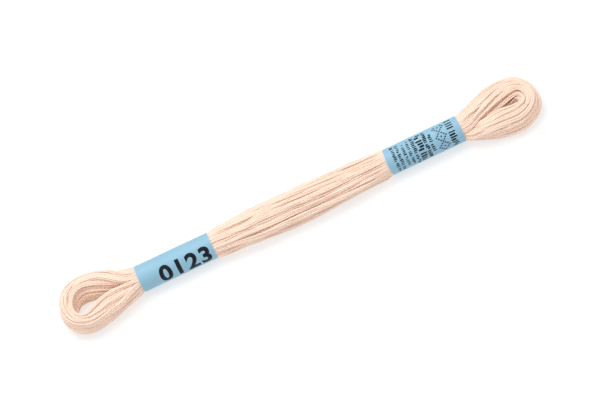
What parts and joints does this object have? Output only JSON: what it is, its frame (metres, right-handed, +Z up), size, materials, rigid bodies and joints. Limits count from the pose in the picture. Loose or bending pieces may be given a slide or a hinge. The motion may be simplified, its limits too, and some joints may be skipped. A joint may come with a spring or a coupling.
{
  "type": "skein of embroidery floss",
  "caption": "Pull skein of stranded embroidery cotton: a flattened bundle of long turns, pinched by paper bands, with an open loop at each end.",
  "frame": {"origin": "middle of the skein's underside, on the table", "axes": "+X along the skein, towards the loop with the smaller eye; +Y across it; +Z up from the table"},
  "size_m": [0.1501, 0.0179, 0.0082],
  "materials": {
    "Stranded cotton": "mercerised cotton with a soft sheen",
    "Coated paper": "smooth satin paper, printed in dark blue"
  },
  "bodies": {
    "root": {"hank": "Stranded cotton", "band_left": "Coated paper", "band_right": "Coated paper"}
  },
  "joints": []
}
